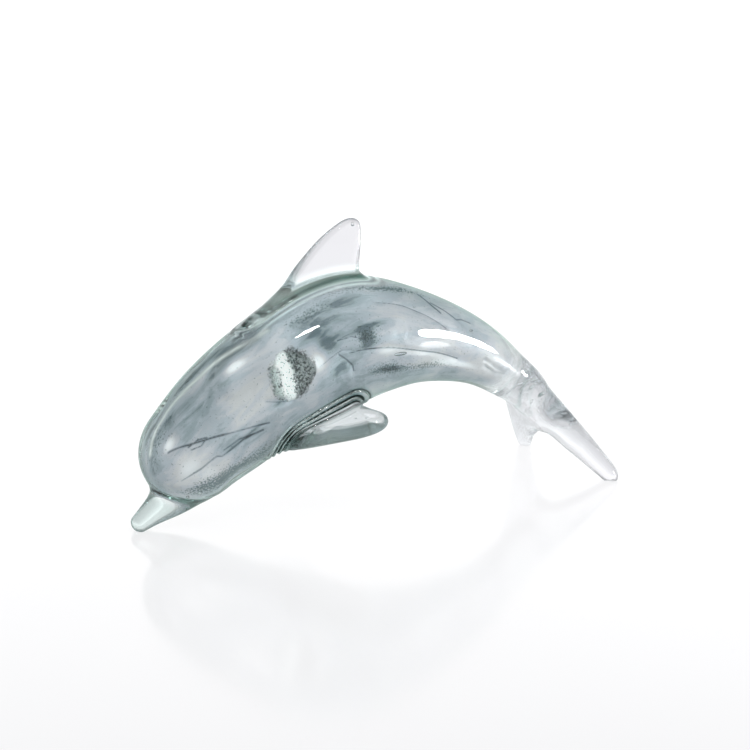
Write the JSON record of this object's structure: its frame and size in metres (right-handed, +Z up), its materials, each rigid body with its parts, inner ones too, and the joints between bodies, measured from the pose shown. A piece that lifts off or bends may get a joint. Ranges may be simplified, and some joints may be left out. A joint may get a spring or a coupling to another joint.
{
  "type": "glass dolphin figurine",
  "caption": "Leaping dolphin figurine in solid clear glass with a smoky colour veil inside, standing on its beak tip and tail fluke tips.",
  "frame": {"origin": "on the surface it stands on, under the middle of the overall length and width", "axes": "+X from the beak to the tail, +Y to the dolphin's right side, +Z up; Y = 0 is the plane of symmetry of the outside"},
  "size_m": [0.2893, 0.1076, 0.162],
  "materials": {
    "clear_glass": "fire-polished clear glass",
    "core_glass": "clear glass with a faint grey tint",
    "veil_glass": "smoky blue-grey colour powder fused in glass",
    "silver_leaf": "broken silver leaf under glass"
  },
  "bodies": {
    "root": {"clear_casing": "clear_glass", "core_gather": "core_glass", "colour_veil": "veil_glass", "silver_leaf": "silver_leaf", "tail_stock": "clear_glass", "beak": "clear_glass", "dorsal_fin": "clear_glass", "pectoral_fin_left": "clear_glass", "pectoral_fin_right": "clear_glass", "fluke_left": "clear_glass", "fluke_right": "clear_glass"}
  },
  "joints": []
}
